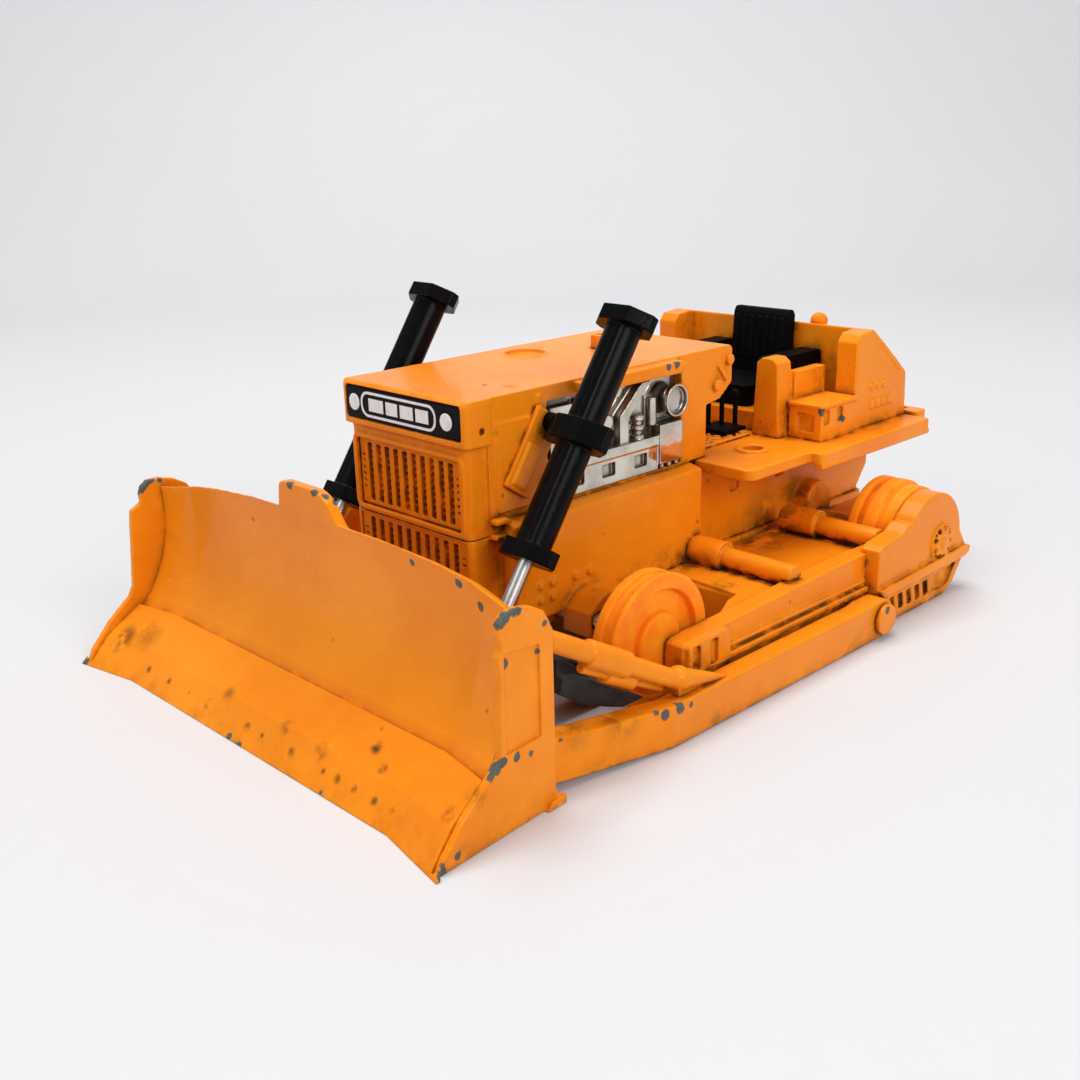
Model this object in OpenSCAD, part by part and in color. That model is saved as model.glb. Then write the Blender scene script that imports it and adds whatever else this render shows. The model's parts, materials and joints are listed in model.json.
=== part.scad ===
// Toy crawler bulldozer: die-cast body, lifting blade on push arms, two
// telescoping lift cylinders, free-turning idlers and sprockets.
// +X is forward, +Y is the machine's left, +Z is up. The origin is on the
// ground under the middle of the overall length and width.

/* [Running gear] */

// Height of both axles above the ground
axle_z = 8.4; // [8.4:0.05:8.5]
// Radius of the idler rims
wheel_r = 8.0; // [7.8:0.05:8]
// Radius of the sprocket rims
sprocket_r = 7.5; // [7.3:0.05:7.5]
// Radius of both axles
axle_r = 1.0; // [0.8:0.05:1.2]
// Radial clearance of every turning pin in its bore
run_gap = 0.05; // [0.02:0.01:0.08]

/* [Blade] */

// Height of the blade's top edge at the middle
blade_h = 24.0; // [23.6:0.1:24.4]
// Thickness of the moldboard
blade_t = 1.3; // [1:0.1:1.6]
// Angle of the two wings of the blade
wing_a = 11; // [9:0.5:12]
// Height of the centre tab above the top edge
tab_h = 2.9; // [2:0.1:4]
// Height of the push arms
arm_h = 4.8; // [4.4:0.1:5]

/* [Lift cylinders] */

// Radius of the barrels
barrel_r = 2.05; // [1.9:0.05:2.1]
// Radius of the lift rods
rod_r = 0.85; // [0.7:0.05:0.95]
// Half length of the middle collar plate across the machine
collar_l = 4.4; // [4:0.1:4.5]

/* [Body] */

// Height of the hood's top
hood_z = 35.4; // [35:0.1:36]
// Height of the exhaust stub above the hood
stub_h = 1.8; // [1:0.1:4]
// Height of the platform deck
deck_z = 21.4; // [21.3:0.05:21.5]
// Wall thickness of the cast shells
wall = 1.2; // [1:0.1:1.4]
// Columns of slots in the radiator grille
grille_n = 10; // [6:1:11]

/* [Output] */

// Node to draw, or all

/* [Hidden] */

ORANGE = [0.95, 0.55, 0.10];
ORANGE2 = [1.0, 0.45, 0.05];
BLACK = [0.08, 0.08, 0.08];
CHROME = [0.85, 0.85, 0.82];
STEEL = [0.7, 0.7, 0.72];
WHITE = [0.95, 0.95, 0.92];

// Pieces are drawn with x = 0 between the axles, then moved back by mid_x so
// that the origin is under the middle of the overall length. Paired pieces
// are drawn on the left and mirrored.
mid_x = 11.4;

// Places in the side plane, [x, z]
idler_at = [25.9, axle_z];
sprocket_at = [-25.2, axle_z];
trunnion = [27.3, 31.4];
lug = [43.5, 7.8];
arm_pivot = [-9.3, 2.6];

// Clearances round the axles, and between touching castings
shell_gap = 0.02;
saddle_gap = 0.05;
frame_gap = 0.1;
seam = 0.01;

// ---------- helpers ----------
// Outlines list [x, z] in side view, [y, z] in front view, [x, y] in plan.
module side(y0, y1) translate([0, y1, 0]) rotate([90, 0, 0]) linear_extrude(y1 - y0) children();
module front(x0, x1) translate([x0, 0, 0]) rotate([90, 0, 90]) linear_extrude(x1 - x0) children();
module plan(z0, z1) translate([0, 0, z0]) linear_extrude(z1 - z0) children();

module box(x0, x1, y0, y1, z0, z1) translate([x0, y0, z0]) cube([x1 - x0, y1 - y0, z1 - z0]);
// a box from -half_y to half_y
module mid_box(x0, x1, half_y, z0, z1) box(x0, x1, -half_y, half_y, z0, z1);

// cylinders along one axis; "at" holds the other two coordinates
module y_cyl(at, r, y0, y1, n = 48)
  translate([at[0], y1, at[1]]) rotate([90, 0, 0]) cylinder(h = y1 - y0, r = r, $fn = n);
module x_cyl(at, r, x0, x1, n = 48)
  translate([x0, at[0], at[1]]) rotate([0, 90, 0]) cylinder(h = x1 - x0, r = r, $fn = n);
module z_cyl(at, r, z0, z1, n = 48)
  translate([at[0], at[1], z0]) cylinder(h = z1 - z0, r = r, $fn = n);

// a round bar from point p to point q
module bar(p, q, r1, r2)
  let (d = q - p)
    translate(p) rotate([0, acos(d[2] / norm(d)), atan2(d[1], d[0])])
      cylinder(h = norm(d), r1 = r1, r2 = r2, $fn = 48);

// a rectangle with true round corners
module round_rect(x0, x1, y0, y1, r) {
  translate([x0 + r, y0]) square([x1 - x0 - 2 * r, y1 - y0]);
  translate([x0, y0 + r]) square([x1 - x0, y1 - y0 - 2 * r]);
  for (x = [x0 + r, x1 - r], y = [y0 + r, y1 - r]) translate([x, y]) circle(r, $fn = 32);
}

module placed() translate([-mid_x, 0, 0]) children();
module right() mirror([0, 1, 0]) children();
module both() {
  children();
  right() children();
}

// ---------- chassis castings ----------
base_z = 7.6;         // underside of the base plate
floor_z = 8.8;        // top of the base plate, foot of both hull shells
split_x = 1.6;        // where the front and rear hull meet
hull_side_y = 13.2;   // half width of the front hull
rear_hull_y = 11;     // half width of the rear hull
hull_back_x = -41.3;
hood_foot_z = 19.62;
hood_y = 10.95;       // half width of the hood's main box
neck_x = 38.75;       // front of the radiator neck
grille_seat_x = 38.52;
deck_under_z = 19.9;
screw_xs = [20, -34];

hull_section = [[-hull_side_y, floor_z], [hull_side_y, floor_z], [hull_side_y, 20.9],
  [11.0, 21.4], [-11.0, 21.4], [-hull_side_y, 20.9]];
axle_bracket = [[21.6, 6.4], [27.2, 6.4], [27.2, 9.4], [25.4, 10.9], [23.8, 11.5], [21.6, 11.2]];
bolt_heads = [[30.8, 13.0], [28.9, 13.0], [30.8, 11.2], [28.9, 11.2], [25.1, 12.7], [22.7, 12.7]];
step_rib = [[36.3, 21.9], [34.6, 21.9], [33.0, 20.9], [31.0, 20.9],
  [31.0, 20.2], [33.2, 20.2], [34.9, 21.2], [36.3, 21.2]];

module hull() color(ORANGE) placed() difference() {
  union() {
    // belly shell and the box in front of it
    front(split_x, 34.4) polygon(hull_section);
    plan(9.4, 19.6) round_rect(30, neck_x, -10.6, 10.6, 0.8);
    both() side(13.1, 17.6) polygon(axle_bracket);
    both() for (at = bolt_heads) y_cyl(at, 0.48, 13.1, 13.6, 24);
    // zigzag step ribs at the front corner
    both() for (drop = [0, 1.75]) intersection() {
      union() {
        box(30, 33.9, 10.5, 13.6, 16, 24);
        box(33.8, 38, 10.5, 12.3, 16, 24);
      }
      side(10, 14) translate([0, -drop]) polygon(step_rib);
    }
  }
  // hollow, open below
  mid_box(3, 33.2, 12, 7, 20.1);
  mid_box(30, 37.4, 9.4, 7, 20.1);
  y_cyl(idler_at, axle_r + shell_gap, -30, 30);
  // opening for the lower grille
  mid_box(37, 40, 9.7, 10.6, 19.2);
  mid_box(37, grille_seat_x, 9.7, 10.6, 19.7);
  // room for the hood and its door panels
  mid_box(1.5, 39.6, 11.0, hood_foot_z - seam, 24);
  both() box(27.9, 35.0, 10.9, 11.3, 22.1, 24);
}

module base_plate() color(ORANGE) placed() difference() {
  union() {
    plan(base_z, floor_z) round_rect(-40, 34.0, -11.8, 11.8, 2);
    // saddles under both axles
    for (at = [idler_at, sprocket_at]) mid_box(at[0] - 2.2, at[0] + 2.2, 11.0, 6.6, 7.7);
  }
  for (x = screw_xs) z_cyl([x, 0], 0.92, 7, 9);
  for (at = [idler_at, sprocket_at]) y_cyl(at, axle_r + saddle_gap, -12, 12);
}

module base_screws() color(STEEL) placed() for (x = screw_xs) difference() {
  union() {
    z_cyl([x, 0], 1.8, 6.9, base_z);
    z_cyl([x, 0], 0.9, base_z, floor_z);
  }
  // cross slot
  mid_box(x - 1.4, x + 1.4, 0.2, 6.8, 7.2);
  mid_box(x - 0.2, x + 0.2, 1.4, 6.8, 7.2);
}

module rear_hull() color(ORANGE) placed() difference() {
  union() {
    side(-rear_hull_y, rear_hull_y)
      polygon([[split_x, floor_z], [split_x, deck_under_z], [hull_back_x, deck_under_z],
        [hull_back_x, 12.5], [-38.5, floor_z]]);
    both() y_cyl(gearcase_at, 3.1, 10.9, 13.4);
  }
  // hollow
  side(-rear_hull_y + wall, rear_hull_y - wall)
    polygon([[0.6, 7], [0.6, 19.0], [-40.1, 19.0], [-40.1, 12.9], [-37.3, 7]]);
  // pockets under the deck
  both() {
    box(-9.3, -7.0, 10.4, 11.5, 15.3, 17.8);
    box(-19.6, -17.4, 10.4, 11.5, 15.3, 17.0);
  }
  y_cyl(sprocket_at, axle_r + shell_gap, -30, 30);
  // the gearcase swelling ends at the base plate
  mid_box(-50, 10, 30, 0, floor_z);
}
gearcase_at = [sprocket_at[0], 10.4];

// ---------- hood ----------
// plan places [x, y]
exhaust_at = [5.2, -0.8];
recess_at = [14.5, -5.6];
spigot_r = 1.2;       // exhaust's spigot and its hole

hood_outline = [[36, hood_foot_z], [36, hood_z], [-6.6, hood_z], [-7.1, hood_z - 0.5],
  [-7.1, 30.5], [-4.6, 28.6], [-1.9, 28.2], [-1.9, deck_z], [split_x, deck_z],
  [split_x, hood_foot_z]];
band_outline = [[35.6, 30.2], [39.3, 30.2], [39.3, hood_z - 0.5], [38.8, hood_z], [35.6, hood_z]];
lip_outline = [[22.5, 34.0], [22.5, hood_z - 0.3], [4.6, hood_z - 0.3], [3.6, 34.6],
  [4.4, 33.6], [20, 33.6]];
door_outline = [[34.9, 22.2], [34.9, 32.4], [28.6, 32.4], [28.6, 34.6], [28.0, 34.6], [28.0, 22.2]];

module hood_body() {
  side(-hood_y, hood_y) polygon(hood_outline);
  // radiator neck, and the wider band above it that carries the badge
  plan(hood_foot_z, 31) round_rect(30, neck_x, -10.5, 10.5, 0.8);
  intersection() {
    plan(30.2, hood_z) round_rect(20, 39.3, -11.15, 11.15, 0.7);
    side(-12, 12) polygon(band_outline);
  }
  // bead round the upper grille
  front(38.5, 39.05) difference() {
    round_rect(-9.95, 9.95, 19.8, 29.2, 1.0);
    round_rect(-9.3, 9.3, 20.4, 28.6, 0.6);
  }
  // rolled lip over the engine opening
  both() side(10.9, 12.4) polygon(lip_outline);
  both() side(10.9, 11.25) polygon(door_outline);
  // shallow ring round the filler recess
  translate([recess_at[0], recess_at[1], hood_z]) difference() {
    cylinder(h = 0.2, r = 3.1, $fn = 48);
    translate([0, 0, -1]) cylinder(h = 3, r = 2.6, $fn = 48);
  }
  // two round bosses joined by a slanting bar, at the dash
  both() {
    y_cyl([-3.6, 30.6], 0.8, 10.9, 11.6, 24);
    y_cyl([-6.1, 33.6], 0.7, 10.9, 11.6, 24);
    translate([-4.85, 10.9, 32.1]) rotate([0, 40, 0])
      translate([-0.35, 0, -1.4]) cube([0.7, 0.5, 2.8]);
  }
}

module hood() color(ORANGE) placed() difference() {
  union() hood_body();
  // hollow inside
  side(-9.4, 9.4)
    polygon([[37.4, 19], [37.4, 33.9], [-8, 33.9], [-8, 22], [-1, 22], [-1, 19]]);
  // rear is open below the dash
  mid_box(-8, -3.2, 9.4, 20, 33.9);
  // engine openings
  both() side(9.0, 13) polygon([[3.2, 21.6], [3.2, 33.6], [26.9, 33.6], [26.9, 21.6]]);
  // grille opening
  mid_box(37, grille_seat_x, 9.7, 19.5, 28.8);
  mid_box(37, 40, 9.3, 20.4, 28.6);
  // recess for the badge
  front(38.6, 40) round_rect(-10.3, 10.3, 31.0, 34.9, 0.35);
  // filler recess and cross seams
  translate([recess_at[0], recess_at[1], hood_z - 0.35]) cylinder(h = 1, r = 2.6, $fn = 48);
  for (x = [24.9, -1.4]) mid_box(x, x + 0.25, 10.4, hood_z - 0.25, hood_z + 1);
  // small holes beside the radiator frame
  both() y_cyl([36.9, 31.9], 0.4, 10.2, 12, 24);
  z_cyl(exhaust_at, spigot_r, 33, 40);
}

module exhaust_stub() color(ORANGE) placed() difference() {
  union() {
    z_cyl(exhaust_at, 1.5, hood_z, hood_z + stub_h);
    z_cyl(exhaust_at, spigot_r, hood_z - 1.3, hood_z);
  }
  z_cyl(exhaust_at, 0.8, hood_z + 0.6, hood_z + stub_h + 1, 32);
}

// one panel of the grille: upright bars in front of thin rungs, and short
// louvres beside them
module grille_panel(z0, z1, half_y) {
  border_z = 0.5;
  border_y = 1.1;
  open_h = z1 - z0 - 2 * border_z;
  slot_pitch = 2 * (half_y - border_y) / grille_n;
  rows = max(3, floor(open_h / 0.72));
  function rung_z(j) = z0 + border_z + j * open_h / rows;
  function slot_y(i) = -half_y + border_y + i * slot_pitch;
  difference() {
    mid_box(37.5, 38.5, half_y, z0, z1);
    for (i = [0:grille_n - 1])
      box(37.0, 39, slot_y(i + 0.24), slot_y(i + 0.76), z0 + border_z, z1 - border_z);
    for (s = [-1, 1], j = [1:rows - 1])
      let (y = s * (half_y - 0.6))
        box(38.2, 39, y - 0.35, y + 0.35, rung_z(j) - 0.12, rung_z(j) + 0.12);
  }
  for (j = [1:rows - 1])
    mid_box(37.6, 38.0, half_y - 0.9, rung_z(j) - 0.15, rung_z(j) + 0.15);
}
module radiator_grille() color(ORANGE) placed() {
  grille_panel(20.45, 28.55, 9.25);
  grille_panel(10.7, 19.3, 9.6);
  // strip that joins the two panels
  mid_box(37.5, 38.2, 9.2, 18.9, 20.9);
}

badge_x = 39.25;
module front_badge() color(BLACK) placed()
  front(38.6, badge_x) round_rect(-10.25, 10.25, 31.05, 34.85, 0.3);
module marker_lamps() color(WHITE) placed()
  for (y = [-8.6, 8.0]) x_cyl([y, 32.95], 1.0, badge_x, 39.4, 32);

// ---------- engine and lamps ----------
engine_y = 9.9;       // outer face of the engine's back plate
engine_z = 21.7;
strut_outline = [[9.3, 33.2], [10.8, 33.2], [14.8, 29.6], [14.8, 26.1], [13.3, 26.1], [13.3, 29.0]];

module engine_one() {
  box(3.4, 26.7, 9.5, engine_y, engine_z, 33.5);
  // lower block with three pockets, a strip on top and a box behind
  difference() {
    box(7.9, 25.0, engine_y, 11.2, engine_z, 24.9);
    for (x = [10.0, 15.8, 21.2]) box(x, x + 2.3, 10.6, 12, 22.7, 24.3);
  }
  box(8.0, 21.6, engine_y, 11.3, 24.9, 26.1);
  box(3.6, 7.9, engine_y, 11.5, 22.4, 27.4);
  side(engine_y, 11.1) polygon(strut_outline);
  // round covers on stems
  for (x = [16.8, 19.4, 22.0]) {
    y_cyl([x, 29.2], 0.95, engine_y, 10.9, 32);
    box(x - 0.45, x + 0.45, engine_y, 10.6, 26.1, 29.2);
  }
  // ringed column and plain pipe
  for (i = [0:4])
    z_cyl([10.9, 10.3], i % 2 == 0 ? 0.9 : 0.6, 26.1 + i * 0.6, 26.1 + (i + 1) * 0.6, 24);
  z_cyl([8.3, 10.3], 0.7, 27.4, 30.9, 24);
  // upper blocks
  box(22.6, 26.4, engine_y, 10.9, 26.6, 32.6);
  box(15.8, 22.0, engine_y, 10.5, 31.2, 32.8);
  // short pins under the rear box
  for (x = [4.2, 5.6, 7.0]) z_cyl([x, 10.75], 0.5, engine_z, 22.4, 24);
}
module engine_left() color(CHROME) placed() engine_one();
module engine_right() color(CHROME) placed() right() engine_one();

module headlamp_one() translate([4.9, engine_y, 30.1]) rotate([-90, 0, 0]) difference() {
  union() {
    cylinder(h = 1.1, r = 1.5, $fn = 48);
    translate([0, 0, 1.1]) cylinder(h = 0.8, r = 2.1, $fn = 48);
  }
  translate([0, 0, 1.3]) cylinder(h = 1, r = 1.75, $fn = 48);
}
module headlamp_left() color(CHROME) placed() headlamp_one();
module headlamp_right() color(CHROME) placed() right() headlamp_one();

trunnion_r = 1.1;
// plate on the hood's side that holds the cylinder's trunnion
module bracket_one() difference() {
  translate([28.6, 11.25, 31.4]) rotate([0, -34, 0]) union() {
    translate([-2.7, 0, -8.2]) cube([4.2, 0.65, 9.9]);
    translate([-1.4, 0.65, -7.6]) cube([2.2, 0.3, 5.0]);
  }
  y_cyl(trunnion, trunnion_r + run_gap, 9, 14);
  box(28.0, 34.9, 11.0, 11.25, 20, 34);
}
module lift_bracket_left() color(ORANGE) placed() bracket_one();
module lift_bracket_right() color(ORANGE) placed() right() bracket_one();

// ---------- operator's station ----------
deck_back_x = -39.9;
deck_boss_at = [-8.1, 13.9];  // plan place [x, y]
floor_t = 0.35;               // tread floor's sheet
tread_h = 0.3;                // raised marks on it

module deck() color(ORANGE) placed() difference() {
  union() {
    plan(deck_under_z, deck_z) difference() {
      union() {
        round_rect(-30, 0.4, -20, 20, 1.6);
        round_rect(deck_back_x, -12.4, -22, 22, 0.9);
      }
      // room for the hood's pillars
      translate([-1.9, -hood_y]) square([4, 2 * hood_y]);
    }
    both() {
      // thicker edge on the wide part
      box(-39.7, -12.6, 20.6, 22, 19.2, deck_under_z);
      z_cyl(deck_boss_at, 2.3, deck_z, deck_z + 0.5);
    }
  }
  both() z_cyl(deck_boss_at, 1.35, 15, 30);
}

module rear_bumper() color(ORANGE) placed() difference() {
  plan(19.8, 21.9) round_rect(-42.9, deck_back_x, -19.6, 19.6, 0.7);
  both() box(-42.2, -41.2, 10, 17, 21.2, 23);
  // room for the hull's rear end
  mid_box(hull_back_x - seam, -39, rear_hull_y + seam, 19, deck_under_z + seam);
}

module tread_floor() color(ORANGE) placed() {
  mid_box(-14.6, -2.2, 8.6, deck_z, deck_z + floor_t);
  // marks turned alternately left and right, every other row shifted
  for (i = [0:8], j = [0:11])
    translate([-3.2 - i * 1.3, -7.7 + j * 1.4 + (i % 2) * 0.35, deck_z + floor_t])
      rotate([0, 0, (i + j) % 2 == 0 ? 45 : -45])
        translate([-0.45, -0.16, 0]) cube([0.9, 0.32, tread_h]);
}

tank_y = 17.8;
filler_at = [-33.6, 6.4];     // plan place [x, y]
tank_outline = [[-26, deck_z], [-26, 33.6], [-26.9, 34.7], [-30.2, 35.0], [-39.4, 27.8],
  [-39.8, deck_z]];

module tank_block() side(-tank_y, tank_y) polygon(tank_outline);
module filler_hole() z_cyl(filler_at, 0.5, 30, 40, 24);

module fuel_tank() color(ORANGE) placed() difference() {
  union() {
    tank_block();
    // raised strips, discs and pads on the sides
    both() side(17.7, 18.05)
      polygon([[-31.6, 32.9], [-32.1, 33.2], [-37.6, 28.9], [-37.2, 28.4]]);
    both() for (i = [0:2]) y_cyl([-30.2 - i * 1.5, 27.0], 0.55, 17.7, 18.15, 24);
    both() for (i = [0:3]) box(-30.9 - i * 1.5, -29.9 - i * 1.5, 17.7, 18.05, 23.9, 25.2);
  }
  // seat well between the two wings
  mid_box(-30.0, -20, 14.6, deck_z - 1, 40);
  filler_hole();
  // hollow
  side(-16.4, 16.4) polygon([[-31.2, 20], [-31.2, 33.2], [-38.2, 27.3], [-38.6, 20]]);
}

// stem, collar and ball, cut to the tank's sloped back
module filler_cap() color(ORANGE) placed() translate(filler_at) intersection() {
  union() {
    cylinder(h = 33.4, r = 0.48, $fn = 24);
    translate([0, 0, 33.0]) cylinder(h = 1.2, r = 0.9, $fn = 32);
    translate([0, 0, 34.7]) sphere(r = 1.3, $fn = 48);
  }
  difference() {
    translate([-2, -2, 31]) cube([4, 4, 6]);
    translate(-filler_at) difference() {
      tank_block();
      filler_hole();
    }
  }
}

column_x = -18.6;     // back of the console's column
column_section = [[8.2, deck_z], [12.7, deck_z], [12.2, 31.6], [11.3, 32.3], [9.7, 32.3], [8.8, 31.6]];
panel_outline = [[column_x, deck_z], [column_x, 30.4], [-19.4, 30.2], [-25.9, 30.2],
  [-26.0, 29.8], [-26.0, deck_z]];

// tapered column and the panel behind it
module console_one() {
  front(column_x, -15.4) polygon(column_section);
  side(11.3, 12.9) polygon(panel_outline);
}
module side_console_left() color(ORANGE) placed() console_one();
module side_console_right() color(ORANGE) placed() right() console_one();

// box with an overhanging lid, two side recesses and one in front
module step_one() difference() {
  union() {
    box(-25.6, -17.4, 12.9, 18.2, deck_z, 25.9);
    box(-25.9, -17.1, 12.9, 18.5, 25.9, 26.5);
  }
  for (x = [-19.4, -22.6]) box(x, x + 1.3, 17.7, 19, 23.6, 25.5);
  box(-17.9, -17, 14.2, 17.0, 22.6, 25.0);
}
module step_box_left() color(ORANGE) placed() step_one();
module step_box_right() color(ORANGE) placed() right() step_one();

seat_z = 24.2;        // top of the seat base
cushion_z = 27.2;
back_outline = [[-27.2, cushion_z], [-29.6, cushion_z], [-29.9, 36.0], [-29.4, 36.7],
  [-28.4, 36.7], [-27.9, 36.0]];
armrest_outline = [[-19.6, 29.2], [-19.0, 29.8], [-19.0, 31.0], [-19.6, 31.5],
  [-29.5, 31.5], [-30, 31.0], [-30, 29.2]];

module seat_base() color(ORANGE) placed() difference() {
  mid_box(-29.9, -17.0, 8.0, deck_z, seat_z);
  mid_box(-29, -18, 7, deck_z - 1, 23.2);
}
module seat() color(BLACK) placed() {
  plan(seat_z, cushion_z) round_rect(-27.6, -18.6, -5.0, 5.0, 1.2);
  // reclined back with upright flutes
  side(-4.8, 4.8) polygon(back_outline);
  for (i = [0:6])
    let (y = -3.9 + i * 1.3)
      side(y - 0.3, y + 0.3)
        polygon([[-27.0, 29.4], [-27.5, 29.4], [-27.9, 35.6], [-27.65, 35.6]]);
}
module armrests() color(BLACK) placed() both() {
  side(6.2, 9.4) polygon(armrest_outline);
  box(-27.4, -22.4, 6.6, 7.8, seat_z, 29.2);
}
module control_levers() color(BLACK) placed() {
  box(-15.0, -10.4, 2.6, 7.6, deck_z + floor_t + tread_h, 22.6);
  for (i = [0:2])
    let (at = [-11.6 - i * 1.2, 3.6 + i * 1.4], top = 28.2 - i * 0.5) {
      z_cyl(at, 0.35, 22.6, top, 24);
      translate([at[0], at[1], top]) sphere(r = 0.6, $fn = 32);
    }
}

// ---------- track frames ----------
plate_z0 = 8.1;       // frame plate
plate_z1 = 8.9;
beam_y0 = 27.5;       // outer beam
beam_y1 = 30.1;
beam_face_y = 30.9;   // block and ledge on the beam
beam_back_x = -11.0;
beam_front_x = 25.4;
plate_outline = [[20.4, 13.2], [20.4, 16.8], [8.8, 17.2], [9.2, 24.8], [11.6, 25.3],
  [16.4, 27.6], [-16.2, 27.6], [-16.2, 21.8], [-38.0, 21.8], [-38.0, 13.4], [-30, 13.4],
  [-30, 13.2]];
beam_outline = [[beam_front_x, 5.0], [25.7, 5.4], [25.7, 8.5], [25.2, 8.9], [-6.0, 10.0],
  [beam_back_x, 10.0], [beam_back_x, 1.2], [-6, 1.2], [20, 3.5]];
block_outline = [[beam_front_x, 5.0], [beam_front_x, 8.4], [25.0, 8.8], [18.6, 9.0],
  [18.0, 8.4], [18.0, 5.0]];

module frame_one() difference() {
  union() {
    // plate from the hull out to the beam, cut away for both wheels
    plan(plate_z0, plate_z1) polygon(plate_outline);
    side(beam_y0, beam_y1) polygon(beam_outline);
    // front block, thicker than the beam
    side(beam_y1, beam_face_y) polygon(block_outline);
    // lower ledge and the thin rib above it
    side(beam_y1, beam_face_y) polygon([[18.0, 5.0], [18.0, 5.8], [-10.6, 5.8], [-10.6, 5.0]]);
    side(beam_y1, 30.5) polygon([[18.0, 6.2], [18.0, 6.7], [-10.6, 6.7], [-10.6, 6.2]]);
    // rails under the plate
    box(-16, 8, 14.6, 15.8, 6.8, plate_z0);
    box(-16, 8, 25.6, beam_y0, 6.8, plate_z0);
    // walls under the plate round the idler's opening
    box(8.3, 9.2, 15.9, 25.6, 3.0, 8.3);
    box(8.3, 20.4, 15.9, 16.8, 3.0, 8.3);
    // saddle under the rear axle
    box(sprocket_at[0] - 2.3, sprocket_at[0] + 2.3, 14.0, 21.8, 6.7, 8.3);
  }
  // upright slots in the front block
  for (x = [23.4, 20.3]) box(x, x + 1.3, 30.2, 32, 5.4, 8.4);
  y_cyl(arm_pivot, 1.02, 27, 32);
  // room for both axles and the gearcase
  y_cyl(idler_at, axle_r + frame_gap, 10, 27.6);
  y_cyl(gearcase_at, 3.15, 10, 13.45);
  y_cyl(sprocket_at, axle_r + frame_gap, 10, 27.6);
  // rounded notch beside the idler
  y_cyl(idler_at, 9.4, 17.0, 27.45, 64);
}
module track_frame_left() color(ORANGE) placed() frame_one();
module track_frame_right() color(ORANGE) placed() right() frame_one();

// thick inner drum and thinner outer shaft, cut to rest on plate and beam
module roller(at, y_in, y_step, y_out) difference() {
  x = at[0];
  union() {
    y_cyl(at, 2.0, y_in, y_step);
    y_cyl(at, 1.35, y_step, y_out);
  }
  box(x - 4, x + 4, 10, beam_y0, 6, plate_z1);
  box(x - 4, x + 4, beam_y0, 30.2, 6, 10.0);
}
module rollers_one() {
  roller([2.8, 10.3], 13.2, 18.2, 28.8);
  roller([-15.6, 10.5], 14.4, 19.9, 29.1);
}
module carrier_rollers_left() color(ORANGE) placed() rollers_one();
module carrier_rollers_right() color(ORANGE) placed() right() rollers_one();

guard_y0 = 29.2;      // housing's inner face
guard_y1 = 32.0;      // housing's outer face
drum_at = [-24.6, 8.05];
hub_at = [-26.5, 8.0];
housing_outline = [[-11.0, 3.6], [-11.0, 10.5], [-12.0, 11.0], [-16.4, 11.6], [-18.0, 12.6],
  [-31.2, 9.4], [-33.7, 6.0], [-33.7, 5.0], [-32.5, 3.4], [-30.8, 1.2], [-28.5, 0.0],
  [-15.0, 0.0], [-13.6, 0.5], [-13.6, 3.6]];
ledge_outline = [[-11.0, 4.2], [-11.0, 5.4], [-33.0, 6.25], [-33.9, 5.9], [-33.8, 5.0],
  [-32.6, 4.6]];

// the part of the hub hidden below the ledge's top
module below_ledge() translate([-40, 0]) square([40, 6.3]);

module guard_one() difference() {
  union() {
    side(guard_y0, guard_y1) union() {
      translate(drum_at) circle(7.2, $fn = 96);
      polygon(housing_outline);
    }
    // thin shoulder towards the sprocket
    side(29.05, guard_y0) intersection() {
      translate(drum_at) circle(7.0, $fn = 96);
      translate([-40, 12]) square([30, 10]);
    }
    // ledge running to the pointed tail
    side(guard_y1, 32.7) polygon(ledge_outline);
    // embossed sprocket hub: ring, toothed disc, centre
    side(guard_y1, 32.35) difference() {
      translate(hub_at) circle(2.7, $fn = 48);
      translate(hub_at) circle(2.35, $fn = 48);
      below_ledge();
    }
    side(guard_y1, 32.6) difference() {
      union() {
        translate(hub_at) circle(1.6, $fn = 48);
        for (i = [0:8]) translate(hub_at) rotate(i * 40) translate([1.2, -0.4]) square([0.9, 0.8]);
      }
      below_ledge();
    }
    side(32.6, 32.85) translate(hub_at) circle(0.75, $fn = 32);
    // web that ties the housing to the beam
    box(-14.6, beam_back_x, 27.61, guard_y0, 4.0, 9.9);
  }
  // ribbed lower skirt
  for (i = [0:4])
    side(31.3, 33) translate([-i * 2.1, 0])
      polygon([[-14.6, 1.2], [-14.1, 3.3], [-15.3, 3.4], [-15.8, 1.2]]);
  side(31.4, 33) polygon([[-25.0, 1.2], [-25.0, 3.5], [-31.4, 4.0], [-29.8, 1.6], [-28.6, 1.0]]);
  // axle end and the push arm's boss
  y_cyl(sprocket_at, axle_r + frame_gap, 27, 30.2);
  y_cyl(arm_pivot, 2.8, 31.2, 36);
}
module sprocket_guard_left() color(ORANGE) placed() guard_one();
module sprocket_guard_right() color(ORANGE) placed() right() guard_one();

module front_axle() color(STEEL) placed() y_cyl(idler_at, axle_r, -26.4, 26.4);
module rear_axle() color(STEEL) placed() y_cyl(sprocket_at, axle_r, -30.0, 30.0);

pivot_r = 1.0;
module pivot_one() {
  y_cyl(arm_pivot, pivot_r, 27.8, 34.1);
  y_cyl(arm_pivot, 2.0, 34.1, 34.75);
}
module arm_pivot_left() color(ORANGE) placed() pivot_one();
module arm_pivot_right() color(ORANGE) placed() right() pivot_one();

// ---------- wheels ----------
bore_r = axle_r + run_gap;
idler_y0 = 23.8;
idler_w = 27.2 - idler_y0;
sprocket_y0 = 22.4;
sprocket_w = 29.0 - sprocket_y0;
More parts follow.
